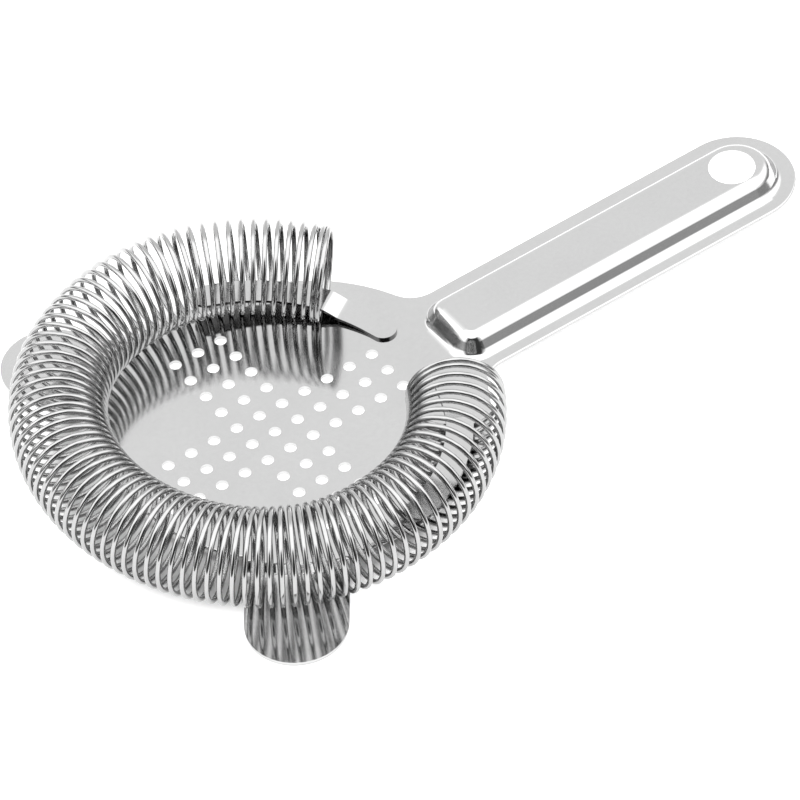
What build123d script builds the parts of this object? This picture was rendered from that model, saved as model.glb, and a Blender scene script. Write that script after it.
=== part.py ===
"""Hawthorne strainer: a stamped steel plate, two retaining clips and a coil spring.

Millimetres. The origin is on the axis of the mouth that the strainer closes, at
the level of the undersides of the two ears. +X runs along the handle to its tip,
and +Z is the side that carries the spring.
"""
from build123d import *
from math import atan2, cos, degrees, hypot, pi, radians, sin, sqrt, tan, tanh
import os

# --- stamped plate -------------------------------------------------------------
sheet = 0.8                    # thickness of the steel sheet
ear_drop = 1.1                 # how far the ears lie below the disc
disc_floor = ear_drop          # underside of the disc and of the handle's flange
disc_top = disc_floor + sheet
disc_radius = 35.0
disc_x = 9.0                   # the disc's centre, towards the handle from the mouth axis
rim_round = 0.35               # rolled-over edge of the sheet

# --- perforation: a plus sign on a square grid -----------------------------------
hole_pitch = 5.0
hole_radius = 1.15
arm_reach = 5                  # holes from the centre to the end of an arm
arm_half_width = 1             # an arm is three holes wide
pattern_x = 3.6

# --- ears -----------------------------------------------------------------------
ear_tip_x = -19.1
ear_tip_y = 39.8
ear_radius = 9.4
ear_inset = 6.0                # the ear's section starts this far inside the disc's rim
ear_outset = 26.0              # and ends beyond the ear's tip
joggle_start = 0.4             # beyond the disc's rim
joggle_run = 1.5
joggle_round = 0.7

# --- handle ---------------------------------------------------------------------
handle_half_width = 11.25
handle_end_x = 108.1           # centre of the round end
neck_fillet = 6.0

# --- pressed ridge along the handle -----------------------------------------------
ridge_height = 3.5
ridge_half_width = 8.0         # at the foot
ridge_start_x = 40.7
ridge_corner = 4.6
ridge_wall = 32                # slope of the walls from the vertical, in degrees
ridge_crest_round = 2.5
ridge_foot_round = 1.9

hanging_hole_x = 107.3
hanging_hole_radius = 4.4

# --- coil spring ------------------------------------------------------------------
wire = 1.0
coil_radius = 8.6              # to the middle of the wire
ring_radius = 35.8             # the coil's centreline is an oval ring
ring_oval = 1.6                # the oval's departure from a circle
ring_oval_lean = radians(14)   # the way the oval is narrowest
ring_centre_y = -0.5           # the ring sits a little to one side
lift = 0.06                    # running clearance between the wire and the plate
ring_first = radians(34)       # where the coil's two ends stand on the ring
ring_last = radians(328)
sag = 1.05                     # the ring rests on the lower ears, not on the disc
sag_begins = radians(75)
sag_ends = radians(115)
turns = 91
closed_first = 2.0             # close-wound turns at the first end
closed_last = 1.3              # and at the last end
closed_step = radians(1.7)     # ring angle that a close-wound turn takes
bunch = radians(6.6)           # the open turns bunch up towards the last end
bunch_at = 0.72                # share of the open turns where the bunch is tightest
bunch_width = 11.0             # turns
end_fade = radians(40)         # the ends' own shape is gone this far along the ring
flare = 0.5                    # the first end springs outward
end_twist = radians(8)         # and its turns face further round the ring
end_lean = radians(2.5)        # the turns at both ends lean towards the handle
lengths = 12                   # the wire is stored as this many end-to-end lengths
points_per_turn = 12

# --- retaining clips ----------------------------------------------------------------
clip_thickness = 0.6
clip_width = 5.0
clip_outer_end = radians(15)   # centre of the rounded end that lies on the plate
clip_inner_end = radians(72)   # centre of the rounded end inside the coil
clip_bend_left = radians(32)   # where each clip leaves the plate
clip_bend_right = radians(30)
clip_follows = radians(42)     # where its curve matches the coil's centreline
clip_contact = 8.2             # the clip lies flat up to this far before the bend
clip_gap = 0.5                 # and has lifted this much where the ramp starts
clip_ramp = 1.5                # half the ramp's length
clip_step = 1.8                # height that the ramp reaches, to the clip's underside
clip_slope = 0.085             # gentle rise of the rest of the clip
clip_bend_round = 2.5


def rounded_slot(start_x, end_x, half_width, start_corner):
    """A strip with a round end at end_x and a square end with round corners."""
    bar = Pos((start_x + end_x) / 2, 0) * Rectangle(end_x - start_x, 2 * half_width)
    bar = fillet(bar.vertices().sort_by(Axis.X)[:2], start_corner)
    return bar + Pos(end_x, 0) * Circle(half_width)


def plate_outline():
    disc = Pos(disc_x, 0) * Circle(disc_radius)
    handle = Pos(handle_end_x / 2, 0) * Rectangle(handle_end_x, 2 * handle_half_width)
    outline = disc + handle + Pos(handle_end_x, 0) * Circle(handle_half_width)
    neck_x = disc_x + sqrt(disc_radius**2 - handle_half_width**2)
    corners = [v for v in outline.vertices() if abs(v.X - neck_x) < 0.01]
    return fillet(corners, neck_fillet)


def perforations():
    reach = range(-arm_reach, arm_reach + 1)
    spots = [
        (pattern_x + i * hole_pitch, j * hole_pitch)
        for i in reach
        for j in reach
        if abs(i) <= arm_half_width or abs(j) <= arm_half_width
    ]
    return Sketch([Pos(*spot) * Circle(hole_radius) for spot in spots])


def flat_sheet():
    blank = extrude(Pos(0, 0, disc_floor) * plate_outline(), sheet)
    rims = blank.faces().filter_by(Axis.Z).edges()
    blank = fillet(rims, rim_round)
    return blank - extrude(Pos(0, 0, disc_floor) * perforations(), sheet)


def ear_profile():
    """Radial section of an ear: flat on the disc, stepped down, then flat again."""
    inside = disc_radius - ear_inset
    outside = disc_radius + ear_outset
    step = disc_radius + joggle_start
    foot = step + joggle_run
    slant = sheet * (hypot(joggle_run, ear_drop) - joggle_run) / ear_drop
    line = Polyline(
        (inside, disc_floor), (step, disc_floor), (foot, 0), (outside, 0),
        (outside, sheet), (foot + slant, sheet), (step + slant, disc_top),
        (inside, disc_top), close=True,
    )
    section = make_face(line)
    bends = [v for v in section.vertices() if inside < v.X < outside]
    return fillet(bends, joggle_round)


def ear(side):
    ring = revolve(Plane.XZ * ear_profile(), Axis.Z)
    away_x = ear_tip_x - disc_x
    reach = hypot(away_x, ear_tip_y)
    root = disc_radius / 2
    tab = Pos((root + reach) / 2, 0) * Rectangle(reach - root, 2 * ear_radius)
    tab = tab + Pos(reach, 0) * Circle(ear_radius)
    turn = degrees(atan2(side * ear_tip_y, away_x))
    return Pos(disc_x, 0) * Rot(0, 0, turn) * (ring & extrude(tab, disc_top))


def ridge_block(base_z, base_half_width, height, crest_round):
    grow = base_half_width - ridge_half_width
    outline = rounded_slot(
        ridge_start_x - grow, handle_end_x, base_half_width, ridge_corner + grow
    )
    block = extrude(Pos(0, 0, base_z) * outline, height, taper=ridge_wall)
    return fillet(block.faces().sort_by(Axis.Z)[-1].edges(), crest_round)


def ridge_skin():
    return ridge_block(disc_top, ridge_half_width, ridge_height, ridge_crest_round)


def ridge_hollow():
    slant = tan(radians(ridge_wall))
    half_width = ridge_half_width + sheet * slant - sheet / cos(radians(ridge_wall))
    return ridge_block(disc_floor, half_width, ridge_height, ridge_crest_round - sheet)


def strainer_plate():
    plate = flat_sheet() + ridge_skin()
    foot = [e for e in plate.edges() if is_ridge_foot(e)]
    plate = fillet(foot, ridge_foot_round)
    plate = plate - ridge_hollow()
    hole = Pos(hanging_hole_x, 0, disc_top) * Cylinder(hanging_hole_radius, 4 * ridge_height)
    plate = plate - hole
    return plate + ear(1) + ear(-1)


def is_ridge_foot(edge):
    box = edge.bounding_box()
    level = abs(box.min.Z - disc_top) < 0.01 and abs(box.max.Z - disc_top) < 0.01
    within = max(abs(box.min.Y), abs(box.max.Y)) < ridge_half_width + 0.01
    return level and within and box.min.X > ridge_start_x - 0.01


def clip_outline(radius):
    """The clip's blank from above: a curved strip with two round ends."""
    band = Circle(radius + clip_width / 2) - Circle(radius - clip_width / 2)
    ends = (clip_outer_end, clip_inner_end)
    rays = [(2 * radius * cos(a), 2 * radius * sin(a)) for a in ends]
    wedge = make_face(Polyline((0, 0), rays[0], rays[1], close=True))
    tips = [Pos(radius * cos(a), radius * sin(a)) * Circle(clip_width / 2) for a in ends]
    return (band & wedge) + tips[0] + tips[1]


def clip_bends(radius):
    """The clip's side view along the tangent at its bend: flat, lifting, ramp, rise."""
    gap = disc_top + clip_gap
    step = disc_top + clip_step
    rise = step + clip_slope * (radius - clip_ramp)
    lower = [
        (-radius, disc_top), (-clip_contact, disc_top), (-clip_ramp, gap),
        (clip_ramp, step), (radius, rise),
    ]
    upper = [(s, z + clip_thickness) for s, z in reversed(lower)]
    section = make_face(Polyline(*lower, *upper, close=True))
    bends = [v for v in section.vertices() if abs(v.X) < radius / 2]
    return fillet(bends, clip_bend_round)


def retaining_clip(side):
    """The clip that holds one end of the coil: side is 1 on the left, -1 on the right."""
    bend = clip_bend_left if side > 0 else clip_bend_right
    radius, growth = oval(side * clip_follows)
    along = Plane(
        origin=(0, 0, 0),
        x_dir=(-sin(bend), cos(bend), 0),
        z_dir=(cos(bend), sin(bend), 0),
    )
    side_view = extrude(along * clip_bends(radius), 2 * radius)
    clip = side_view & extrude(clip_outline(radius), 2 * coil_radius)
    if side < 0:
        clip = mirror(clip, Plane.XZ)
    return Pos(0, ring_centre_y) * clip


def smooth(share):
    """Ease from 0 to 1."""
    share = min(max(share, 0), 1)
    return share**2 * (3 - 2 * share)


def oval(angle):
    """Radius of the coil's centreline and how fast it grows with the angle."""
    lean = 2 * (angle - ring_oval_lean)
    return ring_radius - ring_oval * cos(lean), 2 * ring_oval * sin(lean)


def ring_angle(turn):
    """Angle on the ring after so many turns of the wire."""
    if turn < closed_first:
        return ring_first + turn * closed_step
    if turn > turns - closed_last:
        return ring_last - (turns - turn) * closed_step
    open_turns = turns - closed_first - closed_last
    along = turn - closed_first
    middle = bunch_at * open_turns
    lag = tanh(middle / bunch_width)
    whole = tanh((open_turns - middle) / bunch_width) + lag
    opened = ring_first + closed_first * closed_step
    closing = ring_last - closed_last * closed_step
    pitch = (closing - opened + bunch * whole) / open_turns
    return opened + pitch * along - bunch * (tanh((along - middle) / bunch_width) + lag)


def ring_height(angle):
    """Height of the coil's centreline: on the disc at its ends, on the ears beyond."""
    from_handle = min(angle, 2 * pi - angle)
    share = smooth((from_handle - sag_begins) / (sag_ends - sag_begins))
    return disc_top + lift + wire / 2 + coil_radius - sag * share


def turn_facing(angle):
    """The way a turn faces outward; close-wound turns stand parallel."""
    opened = ring_first + closed_first * closed_step
    closing = ring_last - closed_last * closed_step
    fanned = min(max(angle, opened), closing)
    radius, growth = oval(fanned)
    twist = end_twist * smooth(1 - (fanned - ring_first) / end_fade)
    return fanned - atan2(growth, radius) + twist


def turn_lean(angle):
    """How far the turns at the two ends lean along the ring, towards the handle."""
    at_first = smooth(1 - (angle - ring_first) / end_fade)
    at_last = smooth(1 - (ring_last - angle) / end_fade)
    return tan(end_lean) * (at_last - at_first)


def wire_point(turn):
    angle = ring_angle(turn)
    radius, growth = oval(angle)
    radius = radius + flare * max(1 - (angle - ring_first) / end_fade, 0) ** 2
    facing = turn_facing(angle)
    around = 2 * pi * (turn - 0.25)
    reach = coil_radius * cos(around)
    rise = coil_radius * sin(around)
    lean = rise * turn_lean(angle)
    return (
        radius * cos(angle) + reach * cos(facing) - lean * sin(facing),
        ring_centre_y + radius * sin(angle) + reach * sin(facing) + lean * cos(facing),
        ring_height(angle) + rise,
    )


def wire_length(first, last):
    steps = round((last - first) * points_per_turn)
    turn_values = [first + (last - first) * k / steps for k in range(steps + 1)]
    path = Edge.make_spline([Vector(*wire_point(t)) for t in turn_values])
    section = Plane(origin=path @ 0, z_dir=path % 0) * Circle(wire / 2)
    return sweep(section, path=path, is_frenet=True)


def main():
    os.makedirs("parts", exist_ok=True)
    export_step(strainer_plate(), "parts/strainer_plate.step")
    export_step(retaining_clip(1), "parts/retaining_clip_left.step")
    export_step(retaining_clip(-1), "parts/retaining_clip_right.step")
    share = turns / lengths
    for k in range(lengths):
        name = f"coil_spring_length_{k + 1:02d}"
        export_step(wire_length(k * share, (k + 1) * share), f"parts/{name}.step")


main()
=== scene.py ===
"""Looks of the hawthorne strainer: polished plate and clips, and one continuous coil spring."""
import bpy
from math import atan2, cos, pi, radians, sin, tan, tanh
from mathutils import Matrix, Vector


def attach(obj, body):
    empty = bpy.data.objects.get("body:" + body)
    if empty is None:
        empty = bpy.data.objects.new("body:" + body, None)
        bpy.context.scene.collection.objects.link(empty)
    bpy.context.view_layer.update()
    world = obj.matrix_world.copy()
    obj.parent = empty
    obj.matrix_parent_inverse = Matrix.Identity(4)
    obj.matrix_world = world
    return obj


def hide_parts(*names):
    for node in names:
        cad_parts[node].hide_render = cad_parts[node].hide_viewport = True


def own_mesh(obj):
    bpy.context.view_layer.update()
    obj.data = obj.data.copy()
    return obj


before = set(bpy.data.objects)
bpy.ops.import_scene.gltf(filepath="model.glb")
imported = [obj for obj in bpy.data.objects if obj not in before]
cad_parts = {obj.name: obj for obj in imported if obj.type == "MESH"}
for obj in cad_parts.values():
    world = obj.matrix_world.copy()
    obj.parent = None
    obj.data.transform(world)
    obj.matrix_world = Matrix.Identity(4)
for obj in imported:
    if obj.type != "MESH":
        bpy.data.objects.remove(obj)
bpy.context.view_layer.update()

MM = 0.001

# --- camera -----------------------------------------------------------------------
CAMERA_TARGET = Vector((26.02, -7.65, 1.9)) * MM
CAMERA_DISTANCE = 1.3495
CAMERA_AZIMUTH = radians(-31.76)
CAMERA_ELEVATION = radians(46.75)
CAMERA_ROLL = radians(-4.60)
CAMERA_LENS = 333.6

# --- coil spring, in millimetres; the ring lies round the z axis --------------------
WIRE = 1.0                      # thickness of the wire
COIL_RADIUS = 8.6               # to the middle of the wire
RING_RADIUS = 35.8              # the coil's centreline is an oval ring
RING_OVAL = 1.6                 # the oval's departure from a circle
RING_OVAL_LEAN = radians(14)    # the way the oval is narrowest
RING_CENTRE_Y = -0.5
PLATE_TOP = 1.9                 # upper face of the disc
LIFT = 0.06                     # clearance between the wire and the disc
RING_FIRST = radians(34)        # where the coil's two ends stand on the ring
RING_LAST = radians(328)
SAG = 0.85                      # the coil lies lower over the two ears
SAG_BEGINS = radians(75)
SAG_ENDS = radians(115)
TURNS = 91
CLOSED_FIRST = 2.0              # close-wound turns at the first end
CLOSED_LAST = 1.3               # and at the last end
CLOSED_STEP = radians(1.7)      # ring angle that a close-wound turn takes
BUNCH = radians(6.6)            # the open turns bunch up towards the last end
BUNCH_AT = 0.72                 # share of the open turns where the bunch is tightest
BUNCH_WIDTH = 11.0              # turns
START_TURN = 0.25               # a quarter turn before outward, which is the bottom
END_FADE = radians(40)          # the ends' own shape is gone this far along the ring
FLARE = 0.5                     # the first end springs outward
END_TWIST = radians(15)         # and its turns face further round the ring
FIRST_LEAN = radians(5.5)       # the turns at the ends lean towards the handle
LAST_LEAN = radians(2.5)
STEPS_PER_TURN = 40
WIRE_SIDES = 14


def smooth(share):
    """Ease from 0 to 1."""
    share = min(max(share, 0.0), 1.0)
    return share * share * (3 - 2 * share)


OPENED = RING_FIRST + CLOSED_FIRST * CLOSED_STEP
CLOSING = RING_LAST - CLOSED_LAST * CLOSED_STEP


def oval(angle):
    """Radius of the coil's centreline and how fast it grows with the angle."""
    lean = 2 * (angle - RING_OVAL_LEAN)
    return RING_RADIUS - RING_OVAL * cos(lean), 2 * RING_OVAL * sin(lean)


def ring_angle(turn):
    """Angle on the ring after so many turns: close-wound ends, bunched towards the last."""
    if turn < CLOSED_FIRST:
        return RING_FIRST + turn * CLOSED_STEP
    if turn > TURNS - CLOSED_LAST:
        return RING_LAST - (TURNS - turn) * CLOSED_STEP
    open_turns = TURNS - CLOSED_FIRST - CLOSED_LAST
    along = turn - CLOSED_FIRST
    middle = BUNCH_AT * open_turns
    lag = tanh(middle / BUNCH_WIDTH)
    whole = tanh((open_turns - middle) / BUNCH_WIDTH) + lag
    pitch = (CLOSING - OPENED + BUNCH * whole) / open_turns
    return OPENED + pitch * along - BUNCH * (tanh((along - middle) / BUNCH_WIDTH) + lag)


def ring_height(angle):
    """Height of the coil's centreline: on the disc at its ends, on the ears beyond."""
    from_handle = min(angle, 2 * pi - angle)
    sunk = SAG * smooth((from_handle - SAG_BEGINS) / (SAG_ENDS - SAG_BEGINS))
    return PLATE_TOP + LIFT + WIRE / 2 + COIL_RADIUS - sunk


def turn_facing(angle):
    """The way a turn faces outward; close-wound turns stand parallel."""
    fanned = min(max(angle, OPENED), CLOSING)
    radius, growth = oval(fanned)
    twist = END_TWIST * smooth(1 - (fanned - RING_FIRST) / END_FADE)
    return fanned - atan2(growth, radius) + twist


def turn_lean(angle):
    """How far the turns at the two ends lean along the ring, towards the handle."""
    at_first = smooth(1 - (angle - RING_FIRST) / END_FADE)
    at_last = smooth(1 - (RING_LAST - angle) / END_FADE)
    return tan(LAST_LEAN) * at_last - tan(FIRST_LEAN) * at_first


def wire_point(turn):
    """A point on the wire's centreline, and the section centre that it winds round."""
    angle = ring_angle(turn)
    radius, _ = oval(angle)
    radius += FLARE * max(1 - (angle - RING_FIRST) / END_FADE, 0) ** 2
    centre = Vector((radius * cos(angle), RING_CENTRE_Y + radius * sin(angle), ring_height(angle)))
    facing = turn_facing(angle)
    outward = Vector((cos(facing), sin(facing), 0))
    up = Vector((0, 0, 1)) + turn_lean(angle) * Vector((-sin(facing), cos(facing), 0))
    around = 2 * pi * (turn - START_TURN)
    point = centre + COIL_RADIUS * (cos(around) * outward + sin(around) * up)
    return point, centre


def coil_spring():
    """The whole wire as one tube, with u along it and v round it, in millimetres."""
    steps = TURNS * STEPS_PER_TURN
    spots = [wire_point(TURNS * k / steps) for k in range(steps + 1)]
    verts = []
    along_wire = []
    travelled = 0.0
    for k, (point, centre) in enumerate(spots):
        before = spots[max(k - 1, 0)][0]
        after = spots[min(k + 1, steps)][0]
        travelled += (point - before).length
        along_wire.append(travelled)
        tangent = (after - before).normalized()
        out = point - centre
        out = (out - out.dot(tangent) * tangent).normalized()
        side = tangent.cross(out)
        for j in range(WIRE_SIDES):
            turn = 2 * pi * j / WIRE_SIDES
            verts.append((point + WIRE / 2 * (cos(turn) * out + sin(turn) * side)) * MM)
    faces = []
    for k in range(steps):
        here, there = k * WIRE_SIDES, (k + 1) * WIRE_SIDES
        for j in range(WIRE_SIDES):
            i = (j + 1) % WIRE_SIDES
            faces.append((here + j, here + i, there + i, there + j))
    first_cap = tuple(range(WIRE_SIDES - 1, -1, -1))
    last_cap = tuple(steps * WIRE_SIDES + j for j in range(WIRE_SIDES))
    mesh = bpy.data.meshes.new("coil_spring")
    mesh.from_pydata(verts, [], faces + [first_cap, last_cap])
    uv = mesh.uv_layers.new(name="wire")
    round_wire = pi * WIRE
    for poly in mesh.polygons:
        poly.use_smooth = len(poly.vertices) == 4
        if len(poly.vertices) != 4:
            continue
        for loop, corner in zip(poly.loop_indices, range(4)):
            k, j = divmod(poly.vertices[corner], WIRE_SIDES)
            j = WIRE_SIDES if j == 0 and corner in (1, 2) else j
            uv.data[loop].uv = (along_wire[k], round_wire * j / WIRE_SIDES)
    mesh.validate()
    spring = bpy.data.objects.new("coil_spring", mesh)
    bpy.context.scene.collection.objects.link(spring)
    return spring


# --- shader nodes -------------------------------------------------------------------
class NodeTree:
    """A short way to lay out shader nodes in a tree."""

    def __init__(self, tree):
        self.tree = tree

    def node(self, kind, inputs=None, **settings):
        made = self.tree.nodes.new(kind)
        for key, value in settings.items():
            setattr(made, key, value)
        for key, value in (inputs or {}).items():
            if isinstance(value, bpy.types.NodeSocket):
                self.tree.links.new(value, made.inputs[key])
            else:
                made.inputs[key].default_value = value
        return made

    def join(self, operation, first, second):
        made = self.node("ShaderNodeMath", {0: first, 1: second}, operation=operation)
        return made.outputs[0]

    def vector(self, operation, first, second=(0, 0, 0)):
        return self.node("ShaderNodeVectorMath", {0: first, 1: second}, operation=operation)

    def remap(self, value, span, levels, kind="LINEAR"):
        """Level for a value: the first level below the span, the second above it."""
        made = self.node(
            "ShaderNodeMapRange",
            {
                "Value": value, "From Min": span[0], "From Max": span[1],
                "To Min": levels[0], "To Max": levels[1],
            },
            interpolation_type=kind,
        )
        return made.outputs["Result"]

    def grey(self, value):
        made = self.node(
            "ShaderNodeCombineColor", {"Red": value, "Green": value, "Blue": value}
        )
        return made.outputs[0]


class Recipe(NodeTree):
    """The nodes of one material round its main shader."""

    def __init__(self, name):
        self.material = bpy.data.materials.new(name)
        self.material.use_nodes = True
        super().__init__(self.material.node_tree)
        self.shader = self.tree.nodes["Principled BSDF"]

    def noise(self, place, stretch, detail, roughness=0.55):
        mapped = self.node("ShaderNodeMapping", {"Vector": place, "Scale": stretch})
        made = self.node(
            "ShaderNodeTexNoise",
            {"Vector": mapped.outputs[0], "Scale": 1.0, "Detail": detail, "Roughness": roughness},
        )
        return made.outputs["Fac"]

    def spread(self, noise, low, high):
        """Noise, which keeps mostly to its middle half, spread from low to high."""
        return self.remap(noise, (0.25, 0.75), (low, high))

    def connect(self, value, socket):
        self.tree.links.new(value, self.shader.inputs[socket])

    def bump(self, height, depth, strength):
        made = self.node(
            "ShaderNodeBump", {"Height": height, "Distance": depth, "Strength": strength}
        )
        self.connect(made.outputs["Normal"], "Normal")


# --- steel -------------------------------------------------------------------------
SHEET_TONE = 0.52
WIRE_TONE = 0.40
PLATE_GLOSS = 0.07              # roughness of the plate, the clips and the wire
CLIP_GLOSS = 0.08
WIRE_GLOSS = 0.07
CLOUDS = (70, 70, 70)           # noise cycles in a metre: soft smudges
MOTTLE = (1300, 1300, 1300)     # and the fine texture of rolled sheet
PLATE_GRAIN = (60, 900, 900)    # drawn out along the handle
CLIP_GRAIN = (500, 500, 500)
SHEET_RELIEF = 0.002 * MM
WIRE_LINES = (0.15, 9, 1)       # noise cycles in a millimetre, along and round the wire
WIRE_PATCHES = (0.35, 0.8, 1)
WIRE_RELIEF = 0.006 * MM
CLIP_PAINTED_SHADE = 0.8              # painted shade: the clips' side faces and undersides are darkened, standing in for the shadow in the gap under them
FACING_UP = (0.3, 0.6)          # normal's height over which the painted shade fades out, from a side face to an upper face


def polished_sheet(name, gloss, grain, painted_shade=0.0):
    """Rolled sheet steel with a cloudy sheen; painted shade may darken its sides and underside."""
    recipe = Recipe(name)
    place = recipe.node("ShaderNodeTexCoord").outputs["Object"]
    clouds = recipe.noise(place, CLOUDS, 4)
    mottle = recipe.noise(place, MOTTLE, 3)
    streaks = recipe.noise(place, grain, 4, 0.7)
    soft_tone = recipe.spread(clouds, -0.012, 0.012)
    fine_tone = recipe.spread(mottle, -0.01, 0.01)
    tone = recipe.join("ADD", recipe.join("ADD", soft_tone, fine_tone), SHEET_TONE)
    # painted shade: faces pointing sideways or down are darkened, standing in for the shadow under
    # the part
    if painted_shade:
        normal = recipe.node("ShaderNodeNewGeometry").outputs["True Normal"]
        upward = recipe.node("ShaderNodeSeparateXYZ", {0: normal}).outputs["Z"]
        kept = recipe.remap(upward, FACING_UP, (1 - painted_shade, 1.0))
        tone = recipe.join("MULTIPLY", tone, kept)
    recipe.connect(recipe.grey(tone), "Base Color")
    soft_rough = recipe.spread(clouds, 0.0, 0.03)
    fine_rough = recipe.spread(streaks, 0.0, 0.04)
    rough = recipe.join("ADD", soft_rough, fine_rough)
    recipe.connect(recipe.join("ADD", rough, gloss), "Roughness")
    relief = recipe.join("ADD", recipe.spread(streaks, 0, 0.5), recipe.spread(mottle, 0, 0.5))
    recipe.bump(relief, SHEET_RELIEF, 0.4)
    recipe.shader.inputs["Metallic"].default_value = 1.0
    return recipe.material


def drawn_wire(name):
    """Bright drawn wire: fine lines along its length, a little uneven in tone."""
    recipe = Recipe(name)
    place = recipe.node("ShaderNodeUVMap", uv_map="wire").outputs[0]
    lines = recipe.noise(place, WIRE_LINES, 4, 0.65)
    patches = recipe.noise(place, WIRE_PATCHES, 3)
    line_tone = recipe.spread(lines, -0.04, 0.03)
    patch_tone = recipe.spread(patches, -0.02, 0.02)
    tone = recipe.join("ADD", recipe.join("ADD", line_tone, patch_tone), WIRE_TONE)
    recipe.connect(recipe.grey(tone), "Base Color")
    line_rough = recipe.spread(lines, 0.0, 0.07)
    patch_rough = recipe.spread(patches, 0.0, 0.03)
    rough = recipe.join("ADD", line_rough, patch_rough)
    recipe.connect(recipe.join("ADD", rough, WIRE_GLOSS), "Roughness")
    recipe.bump(lines, WIRE_RELIEF, 0.5)
    recipe.shader.inputs["Metallic"].default_value = 1.0
    return recipe.material


def paint(node, material):
    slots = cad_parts[node].data.materials
    if not slots:
        slots.append(material)
    for k in range(len(slots)):
        slots[k] = material


# --- stage -------------------------------------------------------------------------
FLOOR_SIZE = 6.0
FLOOR_Z = -0.00005              # just below the ears
FLOOR_TONE = 0.8
OPEN_FLOOR_GLOW = 0.6           # keeps the shadow round the strainer faint
PATTERN_X = 3.6                 # middle of the perforation
UNDER_PATTERN = (27, 30)        # the floor seen through it is lit out to here
HANGING_HOLE_X = 107.3
UNDER_HANGING_HOLE = (6, 9)
UNDER_COIL = (36, 40)           # the floor's glow begins at the foot of the coil
AWAY_FROM_CAMERA = (0.5, 0.866, 0)
BACK_ZONE = (0.62, 0.86)        # cosine of the compass angle from that direction
FRONT_ZONE = (-0.85, -0.55)
SIDES_RISE = (0.15, 0.5)        # heights between which each zone of the sky brightens
SIDES_LEVELS = (0.4, 2.4)
BACK_RISE = (0.78, 0.88)
BACK_LEVELS = (1.27, 2.7)
FRONT_RISE = (0.78, 0.90)
FRONT_LEVELS = (0.06, 2.7)


def stage_floor():
    """A white floor, lit a little from within so that it stays white under the holes."""
    mesh = bpy.data.meshes.new("studio_floor")
    half = FLOOR_SIZE / 2
    corners = [(x * half, y * half, FLOOR_Z) for x, y in ((-1, -1), (1, -1), (1, 1), (-1, 1))]
    mesh.from_pydata(corners, [], [(0, 1, 2, 3)])
    floor = bpy.data.objects.new("studio_floor", mesh)
    bpy.context.scene.collection.objects.link(floor)
    recipe = Recipe("floor_white")
    recipe.shader.inputs["Base Color"].default_value = (FLOOR_TONE, FLOOR_TONE, FLOOR_TONE, 1)
    recipe.shader.inputs["Roughness"].default_value = 0.9
    recipe.shader.inputs["Specular IOR Level"].default_value = 0.0
    recipe.shader.inputs["Emission Color"].default_value = (1, 1, 1, 1)
    place = recipe.node("ShaderNodeNewGeometry").outputs["Position"]

    def within(centre_x, edge):
        """1 inside the soft edge of a round patch, 0 outside it."""
        away = recipe.vector("DISTANCE", place, (centre_x * MM, 0, 0)).outputs["Value"]
        return recipe.remap(away, (edge[0] * MM, edge[1] * MM), (1.0, 0.0))

    under_pattern = within(PATTERN_X, UNDER_PATTERN)
    under_hanging_hole = within(HANGING_HOLE_X, UNDER_HANGING_HOLE)
    open_floor = recipe.join("SUBTRACT", 1.0, within(0, UNDER_COIL))
    glow = recipe.join("ADD", under_pattern, under_hanging_hole)
    glow = recipe.join("ADD", glow, recipe.join("MULTIPLY", open_floor, OPEN_FLOOR_GLOW))
    recipe.connect(glow, "Emission Strength")
    mesh.materials.append(recipe.material)


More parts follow.
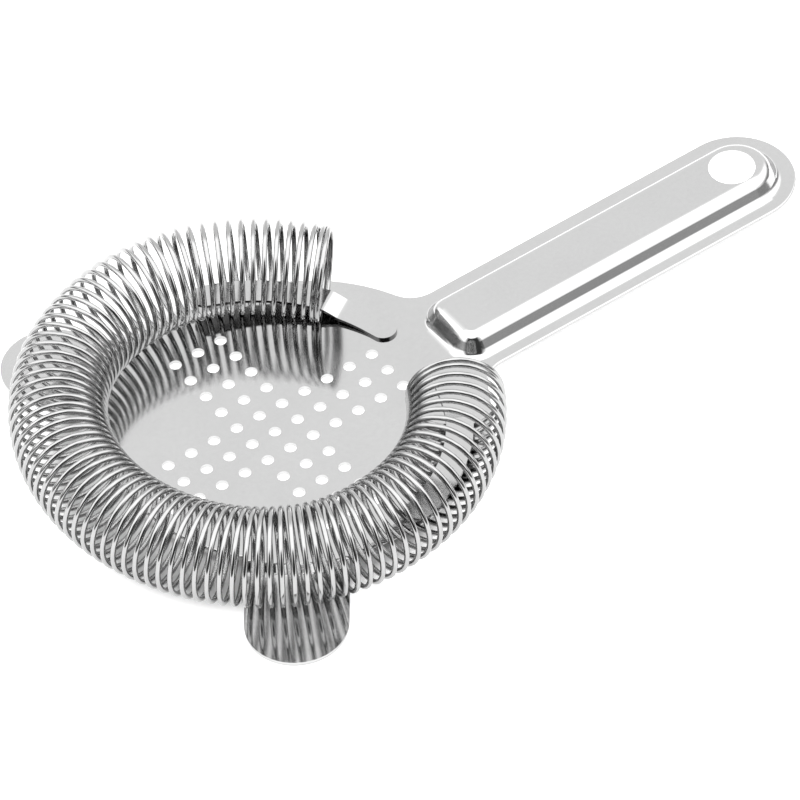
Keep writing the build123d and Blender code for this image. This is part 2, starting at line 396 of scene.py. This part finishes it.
def studio_sky():
    """Soft light from above and behind, and a darker room on the camera's side."""
    world = bpy.data.worlds.new("studio")
    bpy.context.scene.world = world
    world.use_nodes = True
    sky = NodeTree(world.node_tree)
    direction = sky.node("ShaderNodeTexCoord").outputs["Generated"]
    height = sky.node("ShaderNodeSeparateXYZ", {0: direction}).outputs["Z"]
    level = sky.vector("MULTIPLY", direction, (1, 1, 0)).outputs["Vector"]
    compass = sky.vector("NORMALIZE", level).outputs["Vector"]
    facing = sky.vector("DOT_PRODUCT", compass, AWAY_FROM_CAMERA).outputs["Value"]
    back_zone = sky.remap(facing, BACK_ZONE, (0.0, 1.0), "SMOOTHSTEP")
    front_zone = sky.remap(facing, FRONT_ZONE, (1.0, 0.0), "SMOOTHSTEP")
    sides = sky.remap(height, SIDES_RISE, SIDES_LEVELS, "SMOOTHSTEP")
    back = sky.remap(height, BACK_RISE, BACK_LEVELS, "SMOOTHSTEP")
    front = sky.remap(height, FRONT_RISE, FRONT_LEVELS, "SMOOTHSTEP")

    def blend(share, first, second):
        kept = sky.join("MULTIPLY", first, sky.join("SUBTRACT", 1.0, share))
        return sky.join("ADD", kept, sky.join("MULTIPLY", second, share))

    light = blend(front_zone, blend(back_zone, sides, back), front)
    sky.tree.links.new(sky.grey(light), sky.tree.nodes["Background"].inputs["Color"])


def studio_camera():
    data = bpy.data.cameras.new("camera")
    data.lens = CAMERA_LENS
    data.clip_end = 20
    camera = bpy.data.objects.new("camera", data)
    bpy.context.scene.collection.objects.link(camera)
    back = Vector((
        sin(CAMERA_AZIMUTH) * cos(CAMERA_ELEVATION),
        -cos(CAMERA_AZIMUTH) * cos(CAMERA_ELEVATION),
        sin(CAMERA_ELEVATION),
    ))
    turn = back.to_track_quat("Z", "Y").to_matrix().to_4x4()
    place = Matrix.Translation(CAMERA_TARGET + CAMERA_DISTANCE * back)
    camera.matrix_world = place @ turn @ Matrix.Rotation(CAMERA_ROLL, 4, "Z")
    bpy.context.scene.camera = camera


studio_camera()
studio_sky()
stage_floor()
bpy.context.scene.view_settings.view_transform = "Standard"

plate_steel = polished_sheet("plate_steel_polished", PLATE_GLOSS, PLATE_GRAIN)
clip_steel = polished_sheet("clip_steel_polished", CLIP_GLOSS, CLIP_GRAIN, CLIP_PAINTED_SHADE)
wire_steel = drawn_wire("spring_steel_drawn")
paint("strainer_plate", plate_steel)
paint("retaining_clip_left", clip_steel)
paint("retaining_clip_right", clip_steel)

spring = coil_spring()
spring.data.materials.append(wire_steel)
wire_nodes = sorted(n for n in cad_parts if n.startswith("coil_spring_length"))
for name in wire_nodes:
    paint(name, wire_steel)
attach(spring, "spring")
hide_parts(*wire_nodes)
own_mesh(spring)
